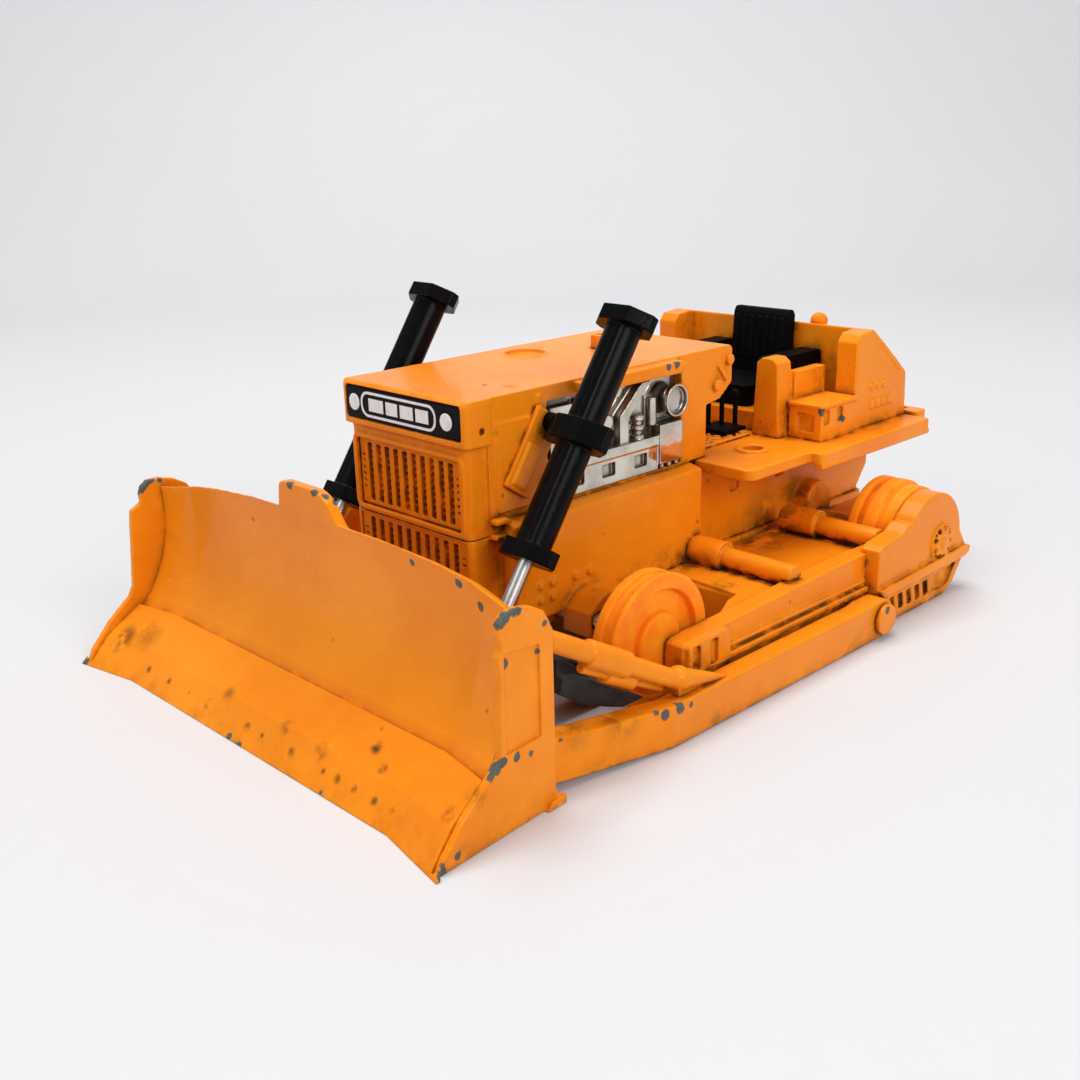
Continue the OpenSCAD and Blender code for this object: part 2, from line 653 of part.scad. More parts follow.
// turned sections, [radius, distance out from the inner face]
idler_section = [[bore_r, 0], [2.6, 0], [2.6, 0.7], [6.3, 0.7], [6.3, 0], [wheel_r - 0.35, 0],
  [wheel_r - 0.1, 0.25], [wheel_r - 0.1, 1.3], [7.4, 1.5], [7.4, idler_w - 0.75],
  [wheel_r, idler_w - 0.55], [wheel_r, idler_w - 0.2], [wheel_r - 0.2, idler_w],
  [6.2, idler_w], [6.0, idler_w - 0.9], [3.6, idler_w - 0.9], [3.4, idler_w - 0.2],
  [3.1, idler_w], [0, idler_w + 0.05], [0, idler_w - 0.7], [bore_r, idler_w - 0.7]];
sprocket_section = [[bore_r, 0], [2.6, 0], [2.6, 0.7], [6.0, 0.7], [6.0, 0],
  [sprocket_r - 0.3, 0], [sprocket_r, 0.3], [sprocket_r, 1.3], [sprocket_r - 0.8, 1.55],
  [sprocket_r - 0.8, 2.1], [sprocket_r, 2.35], [sprocket_r, 4.0], [sprocket_r - 0.45, 4.35],
  [sprocket_r - 0.75, 4.4], [sprocket_r - 0.75, 4.65], [sprocket_r - 0.5, 4.7],
  [sprocket_r - 0.5, sprocket_w - 0.3], [sprocket_r - 0.8, sprocket_w], [5.0, sprocket_w],
  [5.0, sprocket_w - 0.6], [2.4, sprocket_w - 0.6], [2.4, sprocket_w - 0.1],
  [bore_r, sprocket_w - 0.1]];

module wheel(at, y0, section)
  translate([at[0], y0, at[1]]) rotate([-90, 0, 0]) rotate_extrude($fn = 96) polygon(section);
module idler_one() wheel(idler_at, idler_y0, idler_section);
module sprocket_one() wheel(sprocket_at, sprocket_y0, sprocket_section);
module idler_left() color(ORANGE2) placed() idler_one();
module idler_right() color(ORANGE2) placed() right() idler_one();
module sprocket_left() color(ORANGE2) placed() sprocket_one();
module sprocket_right() color(ORANGE2) placed() right() sprocket_one();

// ---------- rubber tracks ----------
belt_z = 8.6;
run_bars = 26;        // tread bars on each straight run
turn_bars = 13;       // spaces between tread bars round each end
wheelbase = idler_at[0] - sprocket_at[0];

module stadium(r) {
  for (at = [sprocket_at, idler_at]) translate([at[0], belt_z]) circle(r, $fn = 96);
  translate([sprocket_at[0], belt_z - r]) square([wheelbase, 2 * r]);
}
module track_right() color(BLACK) placed() right() side(24.0, 27.1) difference() {
  union() {
    stadium(8.48);
    // tread bars: straight runs, then round the ends
    for (i = [0:run_bars - 1], s = [-1, 1])
      translate([sprocket_at[0] + (i + 0.5) * wheelbase / run_bars - 0.45, belt_z + s * 8.5 - 0.1])
        square([0.9, 0.2]);
    for (s = [-1, 1], i = [0:turn_bars])
      translate([s > 0 ? idler_at[0] : sprocket_at[0], belt_z])
        rotate(-90 * s + i * 180 / turn_bars)
          translate([8.2, -0.45]) square([0.4, 0.9]);
  }
  stadium(8.22);
}

loop_t = 0.55;
// curled ends, [x, z] and outer radius
front_curl = [35.9, 6.1];
front_curl_r = 1.9;
rear_curl = [-35.6, 2.1];
rear_curl_r = 2.1;
loop_outer = [[-35.6, 0], [26.5, 0], [29.4, 0.25], [32.6, 1.7], [35.4, 3.3], [37.2, 4.7],
  [37.6, 5.3], [36, 7.5], [34.6, 7.48], [31.0, 5.2], [27.0, 3.5], [20, 2.5], [5, 2.0],
  [-12, 1.9], [-26, 2.2], [-34, 3.7]];
loop_inner = [[-35.6, 0.55], [26.4, 0.55], [29.2, 0.8], [32.3, 2.2], [36.9, 5.2], [36.6, 5.7],
  [34.9, 6.9], [31.2, 4.65], [27.2, 2.95], [20, 1.95], [5, 1.45], [-12, 1.35], [-26, 1.6],
  [-35, 3.1]];
fold_rise = [[36.9, 7.4], [37.4, 5.3], [43.4, 8.7], [43.0, 10.6], [41.2, 10.4]];
fold_cross = [[41.2, 9.2], [42.0, 8.3], [43.4, 8.7], [43.0, 10.6], [41.9, 10.9], [41.0, 10.2]];
fold_return = [[43.4, 8.7], [43.0, 10.6], [41.2, 10.1], [39.5, 9.2], [36.5, 7.4], [34.2, 6.0],
  [31.6, 4.6], [30.4, 3.9], [33.9, 3.95], [36.5, 4.9], [38.9, 5.9], [40.9, 6.9]];
fold_flap = [[43.2, 9.0], [43.0, 12.4], [40.5, 10.8], [38.9, 9.2], [37.0, 7.4], [39.0, 7.0]];

module slack_loop() side(17.4, 21.3) difference() {
  union() {
    translate(front_curl) circle(front_curl_r, $fn = 64);
    translate(rear_curl) circle(rear_curl_r, $fn = 64);
    polygon(loop_outer);
    for (i = [0:22]) translate([-33 + i * 2.6, 0]) square([0.9, 0.5]);
  }
  translate(front_curl) circle(front_curl_r - loop_t, $fn = 64);
  translate(rear_curl) circle(rear_curl_r - loop_t, $fn = 64);
  polygon(loop_inner);
}
// slack loop lying under the belly, with a raised curl at the front; the fold
// comes forward, crosses over and lies against the idler's outer face
module track_left() color(BLACK) placed() {
  slack_loop();
  side(19.4, 21.3) polygon(fold_rise);
  side(20.0, 28.0) polygon(fold_cross);
  side(27.4, 28.9) polygon(fold_return);
  side(27.4, 28.1) polygon(fold_flap);
}

// ---------- blade assembly ----------
// front face of the moldboard: an arc through three points [x, z]
face_top = [52.6, blade_h];
face_mid = [51.8, 17.2];
face_low = [56.0, 6.1];
// centre of the circle through a, b and c
function circle_centre(a, b, c) =
  let (d = 2 * (a[0] * (b[1] - c[1]) + b[0] * (c[1] - a[1]) + c[0] * (a[1] - b[1])))
  [((a * a) * (b[1] - c[1]) + (b * b) * (c[1] - a[1]) + (c * c) * (a[1] - b[1])) / d,
   ((a * a) * (c[0] - b[0]) + (b * b) * (a[0] - c[0]) + (c * c) * (b[0] - a[0])) / d];
arc_at = circle_centre(face_top, face_mid, face_low);
arc_r = norm(arc_at - face_top);
back_r = arc_r + blade_t;

edge_x = 63.5;        // foremost line of the cutting edge
bend_y = 25.5;        // where the wings bend forward
foot_outline = [[55.2, 7.3], [54.5, 7.3], [53.9, 6.0], [54.4, 3.0], [57.2, 0.9], [60.6, 0.9],
  [60.1, 3.1], face_low, [55.5, 6.75]];
edge_outline = [[edge_x, 0], [60.9, 0], [60.6, 0.9], [60.1, 3.1], face_low, [56.4, 6.5],
  [60.7, 3.4]];
// the blade's ends seen from the front
ends_outline = [[-34.4, 0], [-33.1, 8], [-32.9, 30], [32.9, 30], [33.1, 8], [34.4, 0]];
top_outline = [[-40, -60], [-40, 20.0], [-33.3, blade_h - 2.8], [-30, blade_h - 2.2],
  [-25.5, blade_h - 1.25], [-20, blade_h - 0.65], [-12, blade_h - 0.15], [-5.9, blade_h],
  [12, blade_h], [20, blade_h - 0.27], [25.5, blade_h - 0.8], [30, blade_h - 1.75],
  [33.3, blade_h - 2.5], [40, 20.2], [40, -60]];
// centre tab from the side and from the front
tab_side = [[50.7, 21.5], [51.9, 21.5], face_top, [52.6, 40], [51.4, 40], [51.3, blade_h]];
tab_front = [[-6.2, 20], [-5.9, 23.4], [-5.5, blade_h + tab_h - 0.7],
  [-5.2, blade_h + tab_h - 0.2], [-4.6, blade_h + tab_h], [1.6, blade_h + tab_h],
  [2.6, blade_h + tab_h - 0.3], [3.8, blade_h + tab_h - 1.1], [5.2, blade_h - 0.1],
  [5.8, 22.6], [6, 20]];
rib_outline = [[53.9, 8.3], [50.6, 9.2], [49.4, 12], [48.6, 17], [48.9, 20], [50.3, 21.6],
  [51.0, 21.6], [50.9, 17], [51.6, 12.5]];

module board_profile() {
  intersection() {
    difference() {
      translate(arc_at) circle(back_r, $fn = 128);
      translate(arc_at) circle(arc_r, $fn = 128);
    }
    translate([45, 6.6]) square([13, blade_h + 6]);
  }
  // foot behind the cutting edge
  polygon(foot_outline);
}

// turns the left wing forward about the end of the bend line
module turned(a)
  translate([edge_x, bend_y, 0]) rotate([0, 0, -a]) translate([-edge_x, -bend_y, 0]) children();
// everything outside the plane that halves the bend
module outside(overlap = 0) turned(wing_a / 2) box(20, 90, bend_y - overlap, 80, -10, 60);
// a side profile run across the middle and both wings
module with_wings() {
  difference() {
    side(-34, 34) children();
    outside();
    right() outside();
  }
  both() intersection() {
    turned(wing_a) side(18, 40) children();
    outside(0.05);
  }
}
// keeps what is below the top edge; the top slopes down towards the back
module top_window()
  translate([face_top[0], 0, blade_h]) rotate([0, -30, 0])
    translate([-face_top[0], 0, -blade_h]) front(20, 90) polygon(top_outline);

module blade() color(ORANGE) placed() difference() {
  union() {
    intersection() {
      with_wings() board_profile();
      front(30, 80) polygon(ends_outline);
      top_window();
    }
    // upright tab on the top edge
    intersection() {
      side(-8, 8) polygon(tab_side);
      front(45, 60) polygon(tab_front);
    }
    // two upright ribs and a cross rib on the back
    both() side(9.2, 10.4) polygon(rib_outline);
    side(-14.8, 14.8) polygon([[49.2, 12.0], [51.9, 12.0], [51.6, 13.2], [49.0, 13.2]]);
  }
  both() end_room();
  both() box(55.7, 56.3, 32.6, 33.4, 7.7, 8.3);
}

module cutting_edge() color(ORANGE) placed() difference() {
  intersection() {
    with_wings() polygon(edge_outline);
    front(30, 80) polygon([[-35, 0], [-33.4, 8], [33.4, 8], [35, 0]]);
  }
  both() end_room();
}

// Both end plates share the back and top; their front edges differ.
end_back = [[47.3, 0.0], [47.2, 0.4], [48.2, 1.4], [48.2, 18.6], [49.4, 20.8], [51.0, 21.7],
  [53.0, 22.2]];
left_end = concat(end_back, [[54.6, 22.1], [55.5, 21.4], [55.7, 20.4], [55.2, 18.9],
  [55.8, 18.2], [55.6, 16.5], [55.9, 8.0], [57.2, 6.9], [60.9, 4.2], [63.6, 1.4], [64.6, 0]]);
right_end = concat(end_back, [[54.5, 22.1], [55.4, 21.4], [55.7, 20.4], [55.6, 19.4],
  [57.0, 18.6], [57.2, 17.4], [58.0, 8.8], [58.6, 7.6], [61.6, 4.9], [64.2, 1.8], [64.9, 0]]);

// The end plates flare outwards by 5 degrees towards the front.
module flared() translate([46.9, 32.8, 0]) rotate([0, 0, 5]) translate([-46.9, -32.8, 0]) children();
// space that the end plates take out of the blade
module end_room() flared() side(32.0, 40) polygon(right_end);
// space that they take out of the arms and braces
module end_clearance() flared() side(30.95, 40) polygon([[47.0, -1], [47.0, 30], [70, 30], [70, -1]]);

module end_one(outline) flared() {
  side(32.0, 32.5) polygon(outline);
  // raised border round the sunk panel
  side(32.5, 32.85) difference() {
    polygon(outline);
    polygon([[50.2, 8.2], [50.2, 17.7], [55.0, 18.3], [55.1, 8.2]]);
  }
  // foot
  side(32.85, 33.4) polygon([[47.3, 0.0], [47.3, 0.9], [49.5, 0.9], [50.1, 0.0]]);
  // inner flange of the blade's end
  side(31.0, 32.0) polygon([[48.2, 1.4], [48.2, 19.0], [49.0, 20.2], [49.4, 19.0], [49.4, 1.4]]);
}
module end_plate_left() color(ORANGE) placed() end_one(left_end);
module end_plate_right() color(ORANGE) placed() right() end_one(right_end);

arm_y0 = 31.3;
arm_y1 = 34.0;
arm_z0 = 0.1;
arm_top = arm_h + arm_z0;
arm_back_x = -8.9;
knee_x = 31.7;        // the arm turns inwards and rises from here
arm_front_x = 48.2;
arm_plan = [[arm_back_x, arm_y0], [knee_x, arm_y0], [arm_front_x, 28.4], [arm_front_x, 30.9],
  [47.0, 31.4], [knee_x, arm_y1], [arm_back_x, arm_y1]];
arm_side = [[arm_back_x, arm_z0], [knee_x, arm_z0], [arm_front_x, 1.05],
  [arm_front_x, arm_top + 1], [knee_x, arm_top], [arm_back_x, arm_top]];

module arm_one() difference() {
  union() {
    intersection() {
      plan(0, 8) polygon(arm_plan);
      side(20, 40) polygon(arm_side);
    }
    y_cyl(arm_pivot, 2.5, arm_y0, arm_y1);
    // pad that meets the blade's back
    box(arm_front_x, 53.2, 28.4, 30.9, 1.6, 7.6);
    // raised tail of the arm
    side(arm_y0, arm_y1)
      polygon([[arm_back_x, 2.6], [arm_back_x, 5.1], [-6.0, 5.1], [-4.0, 4.8], [-4, 2.6]]);
  }
  y_cyl(arm_pivot, pivot_r + run_gap, 30, 36);
  // stays clear of the moldboard
  side(20, 40) translate(arc_at + [0.8, 0]) circle(back_r + 0.9, $fn = 128);
  box(54.0, 70, 20, 40, -1, 10);
  end_clearance();
}
module push_arm_left() color(ORANGE) placed() arm_one();
module push_arm_right() color(ORANGE) placed() right() arm_one();

// diagonal brace from the blade's back down to the arm
module brace_one() difference() {
  union() {
    bar([50.0, 30.4, 18.1], [29.2, 31.9, 6.6], 1.12, 1.05);
    bar([41.6, 30.85, 13.4], [36.2, 31.25, 10.4], 1.45, 1.45);
    // knuckle with its pointed tail along the arm
    translate([28.6, 31.95, 6.5]) sphere(r = 1.45, $fn = 48);
    bar([28.8, 31.95, 6.5], [22.0, 33.1, 4.9], 1.4, 0.25);
    side(31.9, 32.9) polygon([[29.6, 4.6], [29.6, 6.6], [24.2, 5.3], [24.2, 4.6]]);
    // small tilt cylinder below the brace
    bar([42.0, 30.3, 11.7], [30.3, 30.9, 5.7], 0.55, 0.5);
    bar([38.6, 30.4, 10.0], [34.6, 30.6, 7.9], 1.0, 1.0);
    side(29.9, 31.1) polygon([[38.6, 9.6], [38.6, 12.2], [35.0, 10.2], [35.0, 7.6]]);
  }
  box(arm_front_x, 60, 20, 40, 0, 30);
  // everything below the arm's top
  side(20, 40) polygon([[-20, -5], [-20, arm_top], [knee_x, arm_top],
    [arm_front_x, arm_top + 1], [60, arm_top + 1.7], [60, -5]]);
  side(20, 31.05) polygon([[18, 3], [18, 11], [26.6, 11], [26.6, 3]]);
  end_clearance();
}
module tilt_brace_left() color(ORANGE) placed() brace_one();
module tilt_brace_right() color(ORANGE) placed() right() brace_one();

// ---------- lift cylinders and lugs ----------
lift_y = 16.8;        // side plane of the lift cylinders
lift_a = atan2(lug[0] - trunnion[0], trunnion[1] - lug[1]);
lift_d = norm(lug - trunnion);
lug_r = 1.7;          // round ends of the lug's ears and of the rod
barrel_end = 15.4;    // barrel's lower end, measured from the trunnion
barrel_l = 29.0;

// two ears on the blade's back for the lift rod
module lug_one() difference() {
  union() for (y = [lift_y - 1.45, lift_y + 1.45]) {
    side(y - 0.45, y + 0.45) union() {
      translate(lug) circle(lug_r, $fn = 40);
      polygon([lug + [0.2, -lug_r], lug + [-0.2, lug_r], [53.2, 11.6], [54.6, 4.2]]);
    }
  }
  y_cyl(lug, 0.82, 10, 25, 32);
  // stays clear of the moldboard and its foot
  side(10, 25) translate(arc_at) circle(back_r, $fn = 128);
  side(10, 25) polygon(foot_outline);
  side(10, 25) polygon([[56.0, 6.2], [54.3, 5.3], [54.3, 3.0], [57, 3]]);
}
module lift_lug_left() color(ORANGE) placed() lug_one();
module lift_lug_right() color(ORANGE) placed() right() lug_one();

module pin_one() {
  y_cyl(lug, 0.8, lift_y - 2.1, lift_y + 2.1, 32);
  y_cyl(lug, 1.1, lift_y + 2.1, lift_y + 2.5, 32);
}
module lug_pin_left() color(STEEL) placed() pin_one();
module lug_pin_right() color(STEEL) placed() right() pin_one();

// puts a child's origin a distance s down the lift line from the trunnion,
// with the child's z pointing back up the line
module along_lift(s)
  translate([trunnion[0], lift_y, trunnion[1]]) rotate([0, -lift_a, 0])
    translate([0, 0, -s]) children();
// plate of height h centred at s, drawn out to a narrow end on each side
module collar(s, h, half_w, inner_l, outer_l)
  along_lift(s + h / 2) linear_extrude(h)
    polygon([[half_w, -1.9], [half_w, 1.9], [0.5, outer_l], [-0.5, outer_l],
      [-half_w, 1.9], [-half_w, -1.9], [-0.5, -inner_l], [0.5, -inner_l]]);

module barrel_one() difference() {
  union() {
    along_lift(barrel_end) cylinder(h = barrel_l, r = barrel_r, $fn = 48);
    // raised ribs along the barrel
    for (a = [25, 155])
      along_lift(barrel_end) rotate([0, 0, a])
        translate([barrel_r - 0.35, -0.35, 0]) cube([0.45, 0.7, barrel_l]);
    collar(-13.1, 1.8, 2.6, 4.0, 3.9);
    collar(0.8, 2.8, 2.5, 4.6, collar_l);
    collar(15.0, 1.9, 2.4, 4.1, 3.9);
    // trunnion stub into the bracket
    y_cyl(trunnion, trunnion_r, 11.4, lift_y - 2);
  }
  // blind bore for the rod
  along_lift(16) cylinder(h = 26.6, r = rod_r + run_gap, $fn = 40);
}
module lift_barrel_left() color(BLACK) placed() barrel_one();
module lift_barrel_right() color(BLACK) placed() right() barrel_one();

module rod_one() difference() {
  union() {
    along_lift(lift_d - 1.0) cylinder(h = lift_d - 1.6, r = rod_r, $fn = 40);
    y_cyl(lug, lug_r, lift_y - 0.9, lift_y + 0.9, 40);
  }
  y_cyl(lug, 1.08, 10, 25, 40);
}
module lift_rod_left() color(STEEL) placed() rod_one();
module lift_rod_right() color(STEEL) placed() right() rod_one();

hull();
base_plate();
base_screws();
rear_hull();
hood();
exhaust_stub();
radiator_grille();
front_badge();
marker_lamps();
engine_left();
engine_right();
headlamp_left();
headlamp_right();
lift_bracket_left();
lift_bracket_right();
deck();
rear_bumper();
tread_floor();
fuel_tank();
filler_cap();
side_console_left();
side_console_right();
step_box_left();
step_box_right();
seat_base();
seat();
armrests();
control_levers();
track_frame_left();
track_frame_right();
carrier_rollers_left();
carrier_rollers_right();
sprocket_guard_left();
sprocket_guard_right();
front_axle();
rear_axle();
arm_pivot_left();
arm_pivot_right();
track_left();
track_right();
blade();
cutting_edge();
end_plate_left();
end_plate_right();
push_arm_left();
push_arm_right();
tilt_brace_left();
tilt_brace_right();
lift_lug_left();
lift_lug_right();
lug_pin_left();
lug_pin_right();
lift_barrel_left();
lift_barrel_right();
lift_rod_left();
lift_rod_right();
idler_left();
idler_right();
sprocket_left();
sprocket_right();
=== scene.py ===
"""Orange model bulldozer on a pale studio floor.

The blade faces +X, +Y is the machine's left and +Z is up; the ground is near z = 0.
The model is measured in mm (turned into metres by MM), the stage in metres.
"""
import bpy
import json
import math
import numpy as np
from mathutils import Matrix, Vector


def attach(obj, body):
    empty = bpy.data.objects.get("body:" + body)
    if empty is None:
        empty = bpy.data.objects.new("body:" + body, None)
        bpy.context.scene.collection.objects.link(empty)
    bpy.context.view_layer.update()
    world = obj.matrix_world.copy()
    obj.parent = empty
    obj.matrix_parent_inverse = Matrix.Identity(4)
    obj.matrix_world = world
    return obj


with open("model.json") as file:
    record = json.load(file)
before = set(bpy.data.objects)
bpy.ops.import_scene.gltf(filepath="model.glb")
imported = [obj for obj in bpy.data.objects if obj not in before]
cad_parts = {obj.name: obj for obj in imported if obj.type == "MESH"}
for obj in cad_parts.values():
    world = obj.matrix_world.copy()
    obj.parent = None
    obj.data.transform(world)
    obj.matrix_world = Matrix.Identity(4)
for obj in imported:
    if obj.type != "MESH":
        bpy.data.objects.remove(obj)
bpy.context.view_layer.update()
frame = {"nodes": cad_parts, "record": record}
nodes = frame["nodes"]
COARSEN = 1.0  # larger voxels and fewer smoothing passes
MM = 0.001


# ---------------------------------------------------------------- shader helper
class Shader:
    """A new material, with short calls that add nodes. Lengths are in mm, noise scales per m."""

    def __init__(self, name):
        self.material = bpy.data.materials.new(name)
        self.material.use_nodes = True
        self.tree = self.material.node_tree
        self.coords = self.node("TexCoord", {}, output="Object")

    def feed(self, socket, value):
        """Link a socket, or set a plain value; RGB colours gain an alpha of 1."""
        if isinstance(value, bpy.types.NodeSocket):
            self.tree.links.new(value, socket)
        elif socket.type == "RGBA":
            socket.default_value = (*value, 1.0)
        else:
            socket.default_value = value

    def node(self, kind, inputs, output=0, **settings):
        made = self.tree.nodes.new("ShaderNode" + kind)
        for key, value in settings.items():
            setattr(made, key, value)
        for key, value in inputs.items():
            self.feed(made.inputs[key], value)
        return made.outputs[output]

    def math(self, operation, a, b, clamp=False):
        return self.node("Math", {0: a, 1: b}, operation=operation, use_clamp=clamp)

    def times(self, product, *factors):
        for factor in factors:
            product = self.math("MULTIPLY", product, factor)
        return product

    def most(self, highest, *others):
        for other in others:
            highest = self.math("MAXIMUM", highest, other)
        return highest

    def plus(self, base, extra, gain):
        return self.math("ADD", base, self.times(extra, gain))

    def noise(self, scale, detail=4.0, rough=0.55, coords=None):
        return self.node("TexNoise", {"Vector": coords or self.coords, "Scale": scale,
                                      "Detail": detail, "Roughness": rough})

    def smoothstep(self, value, lo, hi, start, end):
        return self.node("MapRange", {0: value, 1: lo, 2: hi, 3: start, 4: end},
                         interpolation_type="SMOOTHSTEP")

    def rise(self, value, lo, hi):
        """0 below lo, 1 above hi."""
        return self.smoothstep(value, lo, hi, start=0.0, end=1.0)

    def fall(self, value, lo, hi):
        """1 below lo, 0 above hi."""
        return self.smoothstep(value, lo, hi, start=1.0, end=0.0)

    def mix(self, factor, under, over, amount=None):
        """Lay one colour over another, with the factor scaled by amount if given."""
        if amount is not None:
            factor = self.times(factor, amount)
        return self.node("Mix", {0: factor, 6: under, 7: over}, output=2, data_type="RGBA")

    def occlusion(self, reach, samples=6):
        return self.node("AmbientOcclusion", {"Distance": reach * MM}, output="AO",
                         samples=samples)

    def pointiness(self):
        return self.node("NewGeometry", {}, output="Pointiness")

    def ball(self, center, radius, soft, wobble, ragged):
        """1 inside a ball, falling to 0 across soft; wobble moves its edge by up to ragged / 2."""
        distance = self.node("VectorMath", {0: self.coords, 1: tuple(c * MM for c in center)},
                             output="Value", operation="DISTANCE")
        distance = self.plus(distance, self.math("SUBTRACT", wobble, 0.5), gain=ragged * MM)
        return self.fall(distance, lo=(radius - soft) * MM, hi=(radius + soft) * MM)

    def bump(self, height, strength, depth):
        return self.node("Bump", {"Strength": strength, "Distance": depth * MM,
                                  "Height": height})

    def surface(self, inputs):
        """Feed the Principled shader and return the material."""
        principled = self.tree.nodes["Principled BSDF"]
        for key, value in inputs.items():
            self.feed(principled.inputs[key], value)
        return self.material


# ---------------------------------------------------------------- materials
LIT_ORANGE = (0.91, 0.275, 0.007)
DEEP_ORANGE = (0.83, 0.220, 0.003)
# dark brown used for dirt and for painted shade in corners and hollows
DIRT_AND_SHADE = (0.085, 0.029, 0.005)
BARE_METAL = (0.060, 0.080, 0.068)


def shade_and_dirt_mask(g, corner_shade_and_dust, blots, low, speck):
    """Mask of dust and painted shade in corners and hollows, specks, a dusty foot and placed
    blots.
    """
    # painted shade: occlusion darkens creases and wider hollows, broken up by noise, so this mask
    # is partly dust and partly painted shade
    corners = g.occlusion(reach=1.4)
    hollows = g.occlusion(reach=6.0, samples=5)
    broken = g.noise(scale=420, detail=5, rough=0.65)
    patch = g.noise(scale=120, detail=3)
    tight = g.times(g.fall(corners, lo=0.4, hi=0.95), g.rise(broken, lo=0.34, hi=0.56))
    wide = g.times(g.fall(hollows, lo=0.3, hi=0.85), g.rise(patch, lo=0.42, hi=0.66),
                   g.rise(broken, lo=0.35, hi=0.7))
    tight_share, wide_share = 0.62, 0.85
    dust = g.most(g.times(tight, tight_share), g.times(wide, wide_share))
    dirt_and_shade = g.math("MULTIPLY", dust, corner_shade_and_dust, clamp=True)

    cells = g.node("TexVoronoi", {"Vector": g.coords, "Scale": 330})
    kept = g.rise(g.noise(scale=160, detail=2), lo=0.56, hi=0.66)
    dirt_and_shade = g.most(dirt_and_shade, g.times(g.fall(cells, lo=0.07, hi=0.13), kept, speck))

    if low:
        bottom, top, strength = low
        height = g.node("SeparateXYZ", {0: g.coords}, output=2)
        dirt_and_shade = g.most(dirt_and_shade, g.times(g.fall(height, lo=bottom * MM, hi=top * MM),
                                    g.rise(broken, lo=0.40, hi=0.72), strength))
    if blots:
        spots = [g.times(g.ball(center, radius, soft=radius * 0.7, wobble=broken,
                                ragged=radius * 1.4), strength)
                 for *center, radius, strength in blots]
        dirt_and_shade = g.most(dirt_and_shade, g.times(g.most(*spots), g.rise(broken, lo=0.38, hi=0.58)))
    return dirt_and_shade


def paint_chips(g, chips, wear):
    """Mask of the placed chips and of tiny ones scattered along sharp edges."""
    marks = []
    if chips:
        wobble = g.noise(scale=700, detail=4, rough=0.6)
        marks = [g.ball(center, radius, soft=0.10, wobble=wobble, ragged=radius * 2.6)
                 for *center, radius in chips]
    tiny = g.times(g.rise(g.pointiness(), lo=0.56, hi=0.61),
                   g.rise(g.noise(scale=320, detail=4, rough=0.6), lo=0.66, hi=0.70), wear)
    return g.most(*marks, tiny)


def paint(name, corner_shade_and_dust, wear, chips=(), blots=(), low=None, speck=0.5):
    """Glossy orange enamel on a casting.

    chips: rows of x, y, z, radius; blots: rows of x, y, z, radius, strength;
    low: bottom z, top z and strength of the dust near the ground.
    """
    g = Shader(name)
    tone = g.noise(scale=55, detail=3)
    fine = g.noise(scale=900, detail=3)
    color = g.mix(g.rise(tone, lo=0.35, hi=0.68), under=DEEP_ORANGE, over=LIT_ORANGE)
    color = g.mix(g.rise(fine, lo=0.45, hi=0.75), color, over=(0.95, 0.40, 0.05), amount=0.12)
    dirt_and_shade = shade_and_dirt_mask(g, corner_shade_and_dust, blots, low, speck)
    film = g.rise(g.noise(scale=34, detail=4, rough=0.6), lo=0.44, hi=0.70)
    color = g.mix(film, color, over=(0.40, 0.105, 0.006), amount=0.16)
    # dirt, plus painted shade in corners and hollows
    color = g.mix(dirt_and_shade, color, over=DIRT_AND_SHADE)
    # high edges painted paler: partly a worn, thinner coat, partly a painted highlight along the
    # edges
    edge = g.times(g.rise(g.pointiness(), lo=0.535, hi=0.60),
                   g.rise(g.noise(scale=240, detail=4), lo=0.46, hi=0.62))
    color = g.mix(edge, color, over=(1.0, 0.52, 0.12), amount=wear * 0.5)
    chipped = paint_chips(g, chips, wear)
    metal = g.mix(g.noise(scale=1500, detail=2), under=BARE_METAL, over=(0.16, 0.17, 0.15))

    metallic_share = 0.4
    rough = g.plus(0.36, g.most(dirt_and_shade, chipped), gain=0.45)
    # orange-peel ripple, with chips sunk in and the dirt and painted shade mask standing proud
    ripple_share, chip_depth = 0.5, 1.1
    ripple = g.plus(g.times(g.noise(scale=520, detail=2), ripple_share),
                    g.noise(scale=1900, detail=2), gain=0.12)
    height = g.math("SUBTRACT", ripple, g.times(chipped, chip_depth))
    height = g.plus(height, dirt_and_shade, gain=0.35)
    return g.surface({
        "Base Color": g.mix(chipped, color, over=metal),
        "Metallic": g.times(chipped, metallic_share),
        "Roughness": g.plus(rough, g.noise(scale=300, detail=3), gain=0.08),
        "Coat Weight": 0.16,
        "Coat Roughness": 0.07,
        "Specular IOR Level": 0.30,
        "Specular Tint": (1.0, 0.42, 0.10),
        "Normal": g.bump(height, strength=0.35, depth=0.12),
    })


def wheel_plastic():
    g = Shader("orange_plastic")
    mottle = g.noise(scale=260, detail=4)
    color = g.mix(g.rise(mottle, lo=0.3, hi=0.7),
                  under=(0.93, 0.21, 0.006), over=(1.0, 0.32, 0.010))
    # painted shade: occluded corners darkened brown, broken up by noise, partly dust
    dust = g.times(g.fall(g.occlusion(reach=1.2), lo=0.3, hi=0.85),
                   g.rise(g.noise(scale=420, detail=5, rough=0.65), lo=0.42, hi=0.66))
    return g.surface({
        "Base Color": g.mix(dust, color, over=(0.22, 0.05, 0.004), amount=0.45),
        "Specular Tint": (1.0, 0.5, 0.15),
        "Specular IOR Level": 0.35,
        "Subsurface Weight": 0.35,
        "Subsurface Radius": (1.0, 0.28, 0.06),
        "Subsurface Scale": 0.0014,
        "Roughness": g.plus(0.30, mottle, gain=0.2),
        "Normal": g.bump(g.noise(scale=700, detail=3), strength=0.25, depth=0.08),
    })


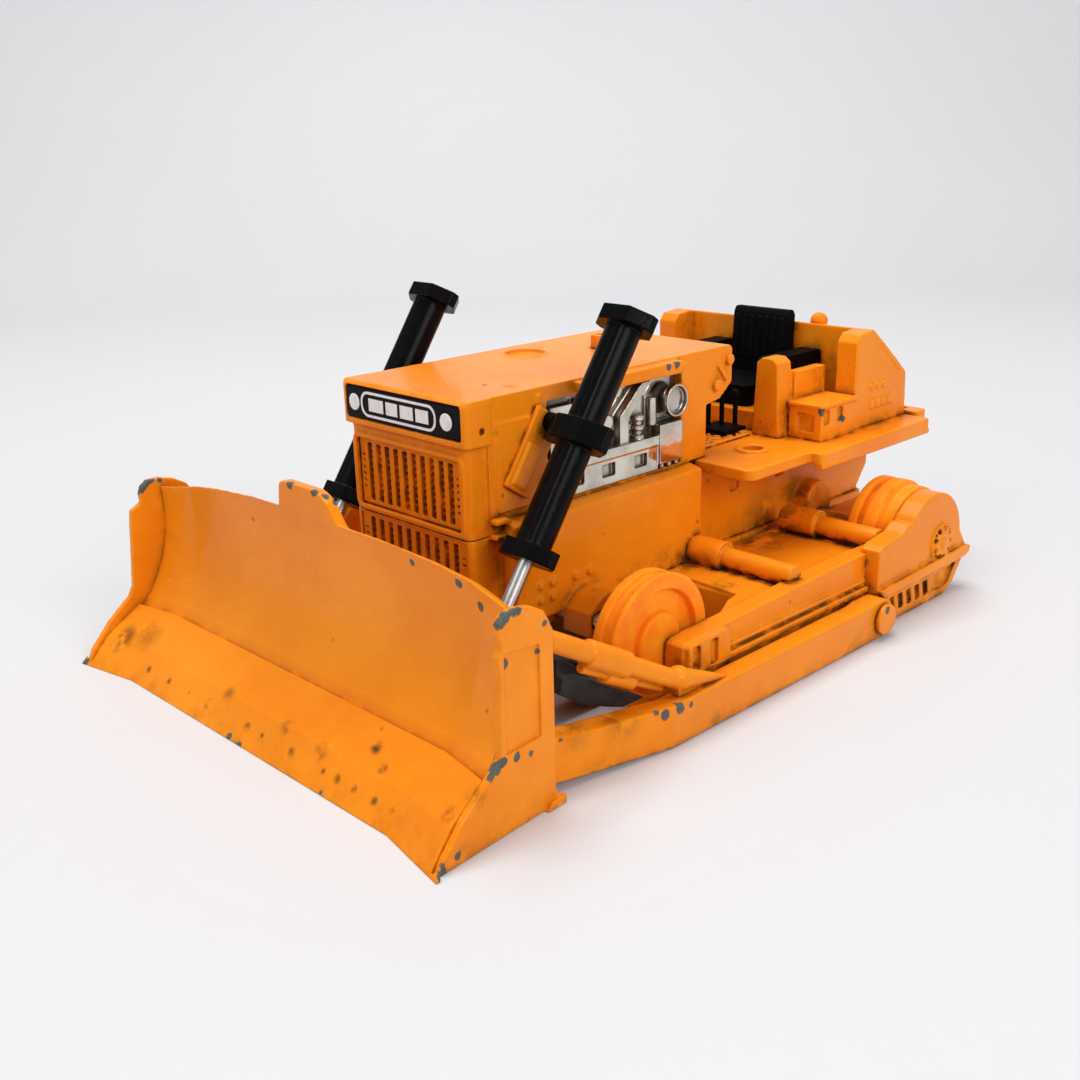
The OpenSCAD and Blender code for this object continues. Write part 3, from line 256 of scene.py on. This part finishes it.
def black_plastic(name, rough, dusty, specular):
    g = Shader(name)
    mottle = g.noise(scale=380, detail=4)
    color = g.mix(mottle, under=(0.0015, 0.0012, 0.0012), over=(0.0040, 0.0035, 0.0035))
    dust = g.times(g.rise(g.noise(scale=650, detail=5, rough=0.7), lo=0.52, hi=0.75),
                   g.fall(g.occlusion(reach=1.2, samples=5), lo=0.4, hi=0.95))
    color = g.mix(dust, color, over=(0.16, 0.13, 0.10), amount=dusty)
    edge = g.times(g.rise(g.pointiness(), lo=0.55, hi=0.62),
                   g.rise(g.noise(scale=300, detail=4), lo=0.5, hi=0.65))
    grain = g.plus(g.noise(scale=1100, detail=3), mottle, gain=0.6)
    return g.surface({
        "Specular IOR Level": specular,
        "Base Color": g.mix(edge, color, over=(0.03, 0.03, 0.031), amount=0.3),
        "Roughness": g.plus(rough - 0.08, mottle, gain=0.22),
        "Normal": g.bump(grain, strength=0.3, depth=0.06),
    })


def chrome():
    g = Shader("chrome_plate")
    mottle = g.noise(scale=300, detail=4)
    corners = g.occlusion(reach=1.5)
    color = g.mix(g.rise(mottle, lo=0.35, hi=0.7),
                  under=(0.70, 0.66, 0.57), over=(0.50, 0.46, 0.39))
    # painted shade: occluded crevices turn near black and less metallic
    crevice_shade_share = 1.0
    painted_crevice_shade = g.times(g.fall(corners, lo=0.45, hi=0.92), crevice_shade_share)
    color = g.mix(painted_crevice_shade, color, over=(0.05, 0.035, 0.02))
    # painted reflection: a pinkish patch where the orange body reflects in the chrome
    painted_orange_reflection = g.ball((-5.8, 11.4, 25.0), radius=2.0, soft=1.2, wobble=mottle, ragged=1.5)
    haze = g.rise(g.noise(scale=500, detail=4), lo=0.45, hi=0.75)
    return g.surface({
        "Base Color": g.mix(painted_orange_reflection, color, over=(0.80, 0.45, 0.34), amount=0.35),
        "Metallic": g.smoothstep(painted_crevice_shade, lo=0.2, hi=0.9, start=1.0, end=0.3),
        "Roughness": g.plus(0.07, haze, gain=0.22),
        "Normal": g.bump(g.noise(scale=420, detail=3), strength=0.4, depth=0.1),
    })


def steel():
    g = Shader("steel")
    # squeezing Z before the turn draws the grain out along Z
    drawn = g.node("Mapping", {0: g.coords, "Rotation": (0, math.radians(34), 0),
                               "Scale": (1, 1, 0.04)})
    grain = g.noise(scale=1800, detail=3, coords=drawn)
    return g.surface({
        "Base Color": g.mix(grain, under=(0.42, 0.41, 0.39), over=(0.72, 0.71, 0.69)),
        "Metallic": 1.0,
        "Roughness": g.plus(0.22, grain, gain=0.15),
        "Normal": g.bump(grain, strength=0.15, depth=0.03),
    })


def rubber():
    g = Shader("track_rubber")
    mottle = g.noise(scale=500, detail=5, rough=0.65)
    color = g.mix(g.rise(mottle, lo=0.3, hi=0.75),
                  under=(0.008, 0.008, 0.009), over=(0.03, 0.03, 0.03))
    dust = g.rise(g.noise(scale=260, detail=5, rough=0.7), lo=0.5, hi=0.72)
    return g.surface({
        "Specular IOR Level": 0.3,
        "Base Color": g.mix(dust, color, over=(0.06, 0.048, 0.038), amount=0.35),
        "Roughness": g.plus(0.5, mottle, gain=0.3),
        "Normal": g.bump(mottle, strength=0.5, depth=0.1),
    })


def white_plastic():
    g = Shader("white_plastic")
    mottle = g.noise(scale=900, detail=4)
    return g.surface({
        "Base Color": g.mix(g.rise(mottle, lo=0.4, hi=0.8),
                            under=(0.86, 0.86, 0.84), over=(0.70, 0.69, 0.66)),
        "Roughness": g.plus(0.3, mottle, gain=0.2),
    })


def floor_white():
    g = Shader("floor_white")
    pale = (0.635, 0.635, 0.650)
    darker = tuple(c * 0.985 for c in pale)
    return g.surface({
        "Base Color": g.mix(g.rise(g.noise(scale=9, detail=3), lo=0.3, hi=0.7),
                            under=pale, over=darker),
        "Roughness": 0.6,
    })


# Chips: x, y, z, radius. Blots: x, y, z, radius, strength.
BLADE_CHIPS = [
    (40.81, 17.3, 22.5, 0.42), (40.7, 24.2, 22.0, 0.45), (40.6, 27.2, 20.4, 0.5),
    (44.0, 33.5, 21.5, 0.7), (43.1, 33.5, 21.95, 0.65), (42.2, 33.4, 22.1, 0.6),
    (41.5, 33.4, 22.0, 0.45), (37.9, 33.1, 19.5, 0.3), (38.8, 32.9, 16.95, 0.3),
    (43.2, 33.2, 17.1, 0.45), (45.2, 33.5, 7.4, 0.75), (45.8, 33.6, 6.9, 0.5),
    (44.2, 33.6, 7.7, 0.6), (42.3, 33.5, 7.5, 0.45), (40.4, 33.3, 7.05, 0.4),
    (53.0, 34.7, 1.0, 0.75), (50.6, 34.2, 0.95, 0.55), (52.9, 34.8, 0.2, 0.8),
    (51.9, -2.95, 0.25, 0.4), (52.0, -0.9, 0.1, 0.4), (41.6, -32.5, 21.85, 0.45),
    (42.65, -32.6, 22.1, 0.6), (44.0, -33.2, 21.3, 0.7), (43.3, -32.8, 21.9, 0.55),
    (41.2, -3.2, 26.8, 0.5), (41.2, 1.4, 26.85, 0.55), (40.6, 2.8, 26.4, 0.4),
    (40.0, 3.8, 25.8, 0.35), (53.7, -34.4, 0.2, 0.6), (51.8, 14.5, 0.15, 0.3),
]
BLADE_BLOTS = [
    (47.3, 18.2, 4.8, 0.7, 1.0), (48.5, 20.7, 3.9, 0.55, 0.9), (49.7, -30.3, 3.7, 1.5, 0.8),
    (50.6, -30.9, 2.8, 1.0, 0.8), (49.3, -6.7, 3.4, 0.8, 0.55), (49.4, 5.0, 3.3, 0.8, 0.55),
    (49.7, 11.7, 3.0, 0.9, 0.6), (47.4, 33.2, 5.4, 0.9, 0.5), (49.6, 32.0, 4.0, 0.8, 0.6),
    (48.4, -27.0, 4.4, 1.8, 0.45),
]
# A row of blots low across the blade, at one x and z: y, radius
ROW_X, ROW_Z, ROW_STRENGTH = 50.65, 1.75, 0.85
ROW_BLOTS = [
    (-23.1, 0.45), (-18.2, 0.4), (-9.3, 0.55), (-1.0, 0.5), (2.0, 0.3), (7.5, 0.5),
    (13.35, 0.35), (15.75, 0.5), (18.6, 0.4), (21.9, 0.45), (24.6, 0.35), (29.5, 0.35),
    (32.0, 0.45),
]
BLADE_BLOTS += [(ROW_X, y, ROW_Z, radius, ROW_STRENGTH) for y, radius in ROW_BLOTS]
BODY_CHIPS = [
    (-5.7, 12.4, 35.0, 0.55), (-4.0, 12.4, 34.8, 0.4), (-28.9, 18.2, 25.6, 0.6),
    (-34.0, 18.0, 23.8, 0.5), (19.7, 5.3, 35.4, 0.3), (11.1, 18.3, 40.9, 0.25),
]
BODY_BLOTS = [
    (18.6, 8, 35.4, 1.2, 0.35), (16.8, 11.3, 33.6, 0.6, 0.7), (23.6, 10.95, 31.4, 0.4, 0.6),
]
FRAME_BLOTS = [
    (-19.4, 15, 9.3, 3.4, 0.9), (-11.4, 20, 9.3, 2.2, 0.6), (-25.4, 14, 9.6, 4.2, 0.85),
    (2.6, 15, 9.3, 2.2, 0.85), (-33.4, 12, 11.9, 3.0, 0.75), (-3.4, 22, 9.3, 1.4, 0.7),
    (-15, 28, 3.0, 3.0, 0.5), (-3, 28, 3.0, 3.0, 0.5),
]
ARM_CHIPS = [
    (19.4, 34.0, 4.4, 0.7), (21.5, 33.8, 4.3, 0.55), (17.5, 34.0, 4.2, 0.4),
    (22.6, 33.6, 4.9, 0.4), (-20.4, 34.75, 3.9, 0.45), (34.7, 31.6, 5.7, 0.3),
]
ARM_BLOTS = [(26.6, 31.5, 5.3, 2.2, 0.6), (32.6, 30, 5.3, 2.0, 0.6)]

BLADE_PAINT = paint("paint_blade", corner_shade_and_dust=0.8, wear=0.4, chips=BLADE_CHIPS, blots=BLADE_BLOTS,
                    low=(-0.5, 3.6, 0.3))
BODY_PAINT = paint("paint_body", corner_shade_and_dust=1.25, wear=0.25, chips=BODY_CHIPS, blots=BODY_BLOTS)
FRAME_PAINT = paint("paint_frame", corner_shade_and_dust=1.7, wear=0.25, blots=FRAME_BLOTS)
ARM_PAINT = paint("paint_arm", corner_shade_and_dust=1.1, wear=0.3, chips=ARM_CHIPS, blots=ARM_BLOTS)
TREAD_PAINT = paint("paint_tread", corner_shade_and_dust=2.2, wear=0.35, speck=0.8)
WHEEL = wheel_plastic()
BLACK = black_plastic("black_plastic", rough=0.24, dusty=0.12, specular=0.07)
SEAT_BLACK = black_plastic("black_seat", rough=0.5, dusty=0.10, specular=0.04)
CHROME = chrome()
STEEL = steel()
RUBBER = rubber()
WHITE = white_plastic()


# ---------------------------------------------------------------- CAD pieces
# Material slot: material (None where the piece's name picks the paint), voxel size, passes
SLOTS = {
    "orange_paint": (None, 0.13, 4),
    "orange_plastic": (WHEEL, 0.13, 3),
    "black_plastic": (BLACK, 0.11, 3),
    "chrome_plate": (CHROME, 0.10, 2),
    "track_rubber": (RUBBER, 0.15, 2),
    "steel": (STEEL, 0.10, 2),
    "white_plastic": (WHITE, 0.08, 2),
}
# Painted pieces with their own voxel size and smoothing passes
PAINTED_DETAIL = {
    "hood": (0.15, 4), "hull": (0.16, 4), "rear_hull": (0.2, 4),
    "radiator_grille": (0.10, 2), "blade": (0.17, 5), "cutting_edge": (0.085, 6),
    "end_plate_left": (0.10, 5), "end_plate_right": (0.10, 5), "deck": (0.16, 4),
    "fuel_tank": (0.17, 5), "tread_floor": (0.11, 2), "base_plate": (0.25, 3),
}
FRAME_PREFIXES = ("track_frame", "carrier", "sprocket_guard", "hull", "rear_hull", "base_plate")
ARM_PREFIXES = ("push_arm", "tilt_brace", "lift_lug", "arm_pivot")


def set_material(piece, material):
    piece.data.materials.clear()
    piece.data.materials.append(material)


def soften(piece, voxel, passes):
    """Round a piece's edges the way a mould and a coat of paint do."""
    weld = piece.modifiers.new("weld", "WELD")
    weld.merge_threshold = 1e-6
    cast = piece.modifiers.new("cast", "REMESH")
    cast.mode = "VOXEL"
    cast.voxel_size = voxel * MM * COARSEN
    cast.use_smooth_shade = True
    smooth = piece.modifiers.new("round", "SMOOTH")
    smooth.factor = 0.5
    smooth.iterations = max(1, int(passes / COARSEN))


def paint_for(name):
    if name in ("blade", "cutting_edge") or name.startswith("end_plate"):
        return BLADE_PAINT
    if name.startswith(FRAME_PREFIXES):
        return FRAME_PAINT
    if name.startswith(ARM_PREFIXES):
        return ARM_PAINT
    return TREAD_PAINT if name == "tread_floor" else BODY_PAINT


slot_of = {part["node"]: part["material_slot"] for part in frame["record"]["subparts"]}
for name, piece in nodes.items():
    material, voxel, passes = SLOTS[slot_of[name]]
    if slot_of[name] == "orange_paint":
        material = paint_for(name)
        voxel, passes = PAINTED_DETAIL.get(name, (voxel, passes))
    elif name in ("seat", "armrests", "control_levers"):
        material = SEAT_BLACK
    soften(piece, voxel, passes)
    set_material(piece, material)


# ---------------------------------------------------------------- badge
# A white frame round four bars, standing across X and facing +X
BADGE_X = (27.85 - 0.05, 27.85 + 0.05)
FRAME_Y = (-7.4, 6.2)
FRAME_Z = (31.45, 34.45)
FRAME_RADIUS = 1.3
FRAME_WIDTH = 0.3
BARS_Y = [(-5.9, -3.2), (-2.7, -0.6), (-0.1, 2.2), (2.7, 4.9)]
BARS_Z = (32.2, 33.7)
BOX_FACES = [(0, 3, 2, 1), (4, 5, 6, 7), (0, 1, 5, 4), (1, 2, 6, 5), (2, 3, 7, 6), (3, 0, 4, 7)]


def add_object(name, data):
    made = bpy.data.objects.new(name, data)
    bpy.context.scene.collection.objects.link(made)
    return made


def badge_layers(outline):
    """The (y, z) outline at the badge's back, then at its front, in metres."""
    return [(x * MM, y * MM, z * MM) for x in BADGE_X for y, z in outline]


def add_badge_part(name, vertices, faces):
    mesh = bpy.data.meshes.new(name)
    mesh.from_pydata(vertices, [], faces)
    part = add_object(name, mesh)
    set_material(part, WHITE)
    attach(part, "chassis")


def rounded_outline(inset, steps=6):
    """The frame's rounded rectangle, drawn in by inset."""
    radius = FRAME_RADIUS - inset
    # arc centres do not move with the inset
    y0, y1 = FRAME_Y[0] + FRAME_RADIUS, FRAME_Y[1] - FRAME_RADIUS
    z0, z1 = FRAME_Z[0] + FRAME_RADIUS, FRAME_Z[1] - FRAME_RADIUS
    points = []
    for y, z, start in ((y1, z1, 0), (y0, z1, 90), (y0, z0, 180), (y1, z0, 270)):
        for i in range(steps + 1):
            angle = math.radians(start + 90 * i / steps)
            points.append((y + radius * math.cos(angle), z + radius * math.sin(angle)))
    return points


def badge_outline():
    outer = rounded_outline(inset=0)
    n = len(outer)
    faces = []
    for i in range(n):
        j = (i + 1) % n
        faces += [(2 * n + i, 2 * n + j, 3 * n + j, 3 * n + i),
                  (i, n + i, n + j, j),
                  (i, j, 2 * n + j, 2 * n + i),
                  (n + i, 3 * n + i, 3 * n + j, n + j)]
    outlines = outer + rounded_outline(inset=FRAME_WIDTH)
    add_badge_part("badge_outline", badge_layers(outlines), faces)


def badge_bars():
    vertices, faces = [], []
    z0, z1 = BARS_Z
    for y0, y1 in BARS_Y:
        first = len(vertices)
        vertices += badge_layers([(y0, z0), (y1, z0), (y1, z1), (y0, z1)])
        faces += [tuple(first + k for k in face) for face in BOX_FACES]
    add_badge_part("badge_bars", vertices, faces)


badge_outline()
badge_bars()


# ---------------------------------------------------------------- stage, in metres
FLOOR_X = (1.2, 0.2, -0.30)  # stations of the flat floor; the last starts the curve
CURVE_RADIUS = 0.16
CURVE_STEPS = 12
WALL_TOP = 1.2
HALF_WIDTH = 1.3
BACKDROP_TURN = 47  # degrees about Z, putting the wall opposite the camera


def backdrop():
    """Floor that curves up into a pale wall."""
    profile = [(x, 0.0) for x in FLOOR_X]
    curve_x = FLOOR_X[-1]
    for i in range(1, CURVE_STEPS + 1):
        angle = math.radians(i * 90 / CURVE_STEPS)
        profile.append((curve_x - CURVE_RADIUS * math.sin(angle),
                        CURVE_RADIUS - CURVE_RADIUS * math.cos(angle)))
    profile.append((curve_x - CURVE_RADIUS, WALL_TOP))
    vertices = [(x, y, z) for x, z in profile for y in (-HALF_WIDTH, HALF_WIDTH)]
    faces = [(2 * i, 2 * i + 1, 2 * i + 3, 2 * i + 2) for i in range(len(profile) - 1)]
    mesh = bpy.data.meshes.new("backdrop")
    mesh.from_pydata(vertices, [], faces)
    for face in mesh.polygons:
        face.use_smooth = True
    sheet = add_object("backdrop", mesh)
    sheet.matrix_world = Matrix.Rotation(math.radians(BACKDROP_TURN), 4, "Z")
    sheet.location.z = -0.00002  # just under the ground plane
    set_material(sheet, floor_white())


def area_light(name, place, target, size, power, color):
    light = bpy.data.lights.new(name, "AREA")
    light.shape = "RECTANGLE"
    light.size, light.size_y = size
    light.energy = power
    light.color = color
    lamp = add_object(name, light)
    lamp.location = place
    aim = Vector(target) - Vector(place)
    lamp.rotation_euler = aim.to_track_quat("-Z", "Y").to_euler()


backdrop()
area_light("key", place=(-0.02, -0.10, 0.62), target=(-0.01, 0, 0.01), size=(0.42, 0.42),
           power=3.3, color=(1.0, 0.99, 0.97))
area_light("front", place=(0.65, -0.10, 0.34), target=(0.02, 0, 0.01), size=(0.4, 0.3),
           power=0.95, color=(1.0, 1.0, 1.0))
area_light("side", place=(0.05, 0.62, 0.34), target=(-0.01, 0, 0.01), size=(0.4, 0.3),
           power=2.15, color=(1.0, 0.98, 0.96))

world = bpy.data.worlds.new("world")
world.use_nodes = True
background = world.node_tree.nodes["Background"]
background.inputs["Color"].default_value = (0.93, 0.95, 1.0, 1)
background.inputs["Strength"].default_value = 0.44
bpy.context.scene.world = world

# ---------------------------------------------------------------- camera
# The camera's own axes and place, in the world
CAMERA_RIGHT = (-0.71663377, 0.69701269, -0.02468516)
CAMERA_UP = (-0.23868954, -0.21184505, 0.94770722)
CAMERA_BACK = (0.65533453, 0.68505109, 0.31818496)
CAMERA_PLACE = (0.1126, 0.11075133, 0.06382351)

lens = bpy.data.cameras.new("camera")
camera = add_object("camera", lens)
camera.matrix_world = Matrix([*zip(CAMERA_RIGHT, CAMERA_UP, CAMERA_BACK, CAMERA_PLACE),
                              (0, 0, 0, 1)])
lens.sensor_width = 36
lens.lens = 41.822
lens.clip_start = 0.005
lens.clip_end = 10
bpy.context.scene.camera = camera

view = bpy.context.scene.view_settings
view.view_transform = "Standard"
view.look = "None"
view.exposure = 0.0
